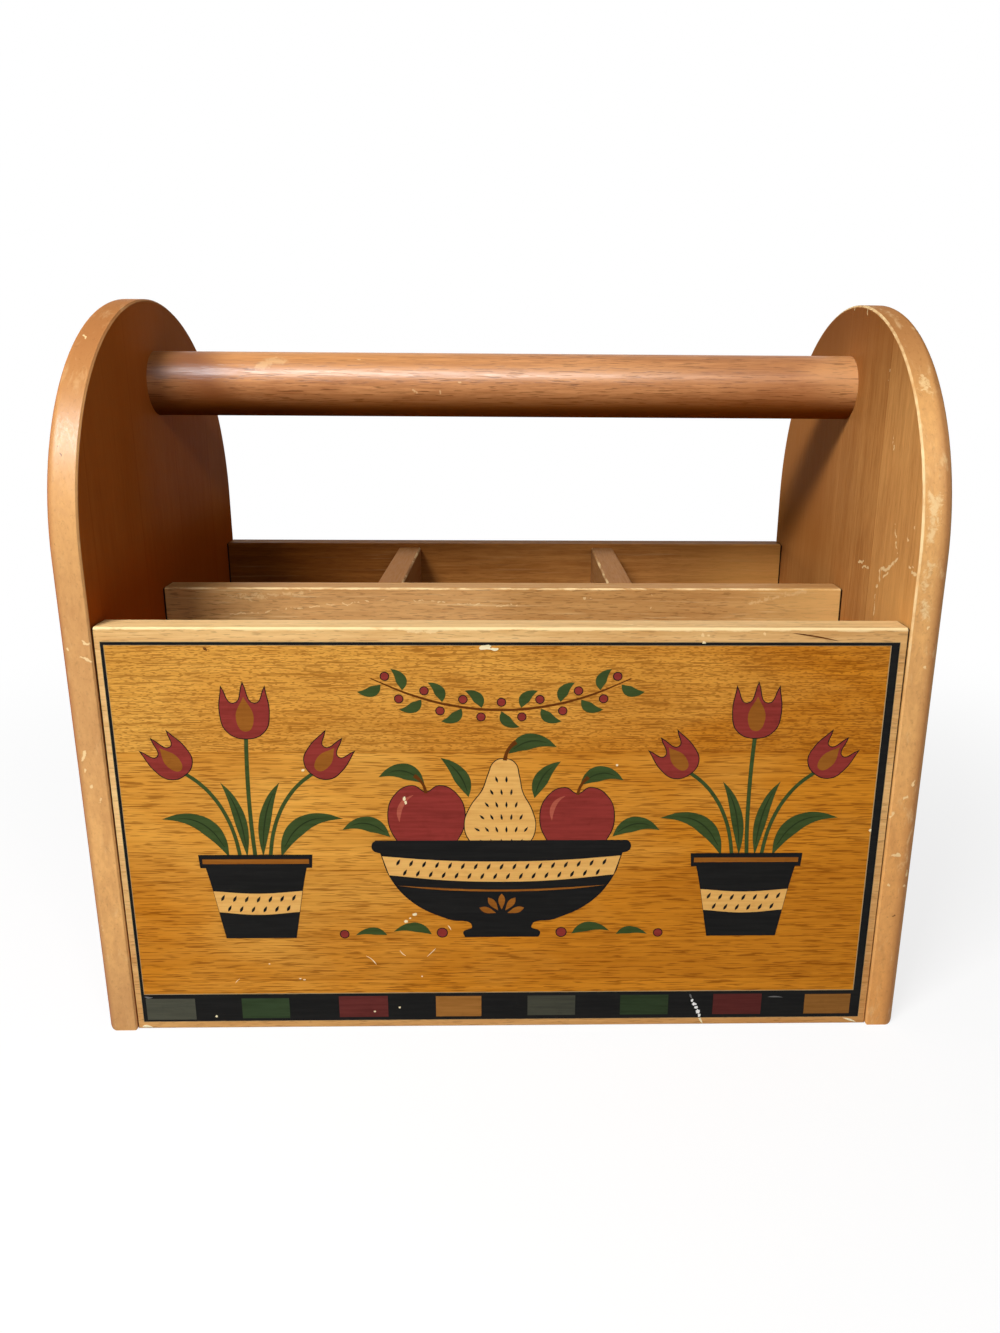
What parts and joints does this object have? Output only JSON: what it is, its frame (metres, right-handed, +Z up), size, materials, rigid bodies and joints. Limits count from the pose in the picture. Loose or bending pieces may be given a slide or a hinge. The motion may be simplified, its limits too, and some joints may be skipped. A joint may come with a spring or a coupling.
{
  "type": "utensil caddy",
  "caption": "Open wooden utensil caddy with half-round end boards, a round carrying bar, a long front slot and divided bins behind it, and a painted front board.",
  "frame": {"origin": "on the table, under the middle of the caddy's outer box", "axes": "+X along the handle bar to the right, +Y from the painted front to the back, +Z up"},
  "size_m": [0.307, 0.178, 0.2745],
  "materials": {
    "end_wood": "satin lacquer over honey-brown stain, worn along the edges",
    "box_wood": "thin satin lacquer over tan-brown wood",
    "handle_wood": "satin lacquer over red-brown stain",
    "floor_wood": "bare plywood, lightly sealed",
    "pin_wood": "bare pale hardwood",
    "plug_wood": "sanded flush and lacquered",
    "screw_steel": "bright zinc plate"
  },
  "bodies": {
    "root": {"back_board": "box_wood", "floor_board": "floor_wood", "front_board": "box_wood", "handle_bar": "handle_wood", "left_back_pins": "pin_wood", "left_divider": "box_wood", "left_end_board": "end_wood", "left_front_pins": "pin_wood", "left_handle_screw": "screw_steel", "left_partition_pins": "pin_wood", "left_screw_plug": "plug_wood", "partition_board": "box_wood", "right_back_pins": "pin_wood", "right_divider": "box_wood", "right_end_board": "end_wood", "right_front_pins": "pin_wood", "right_handle_screw": "screw_steel", "right_partition_pins": "pin_wood", "right_screw_plug": "plug_wood"}
  },
  "joints": []
}
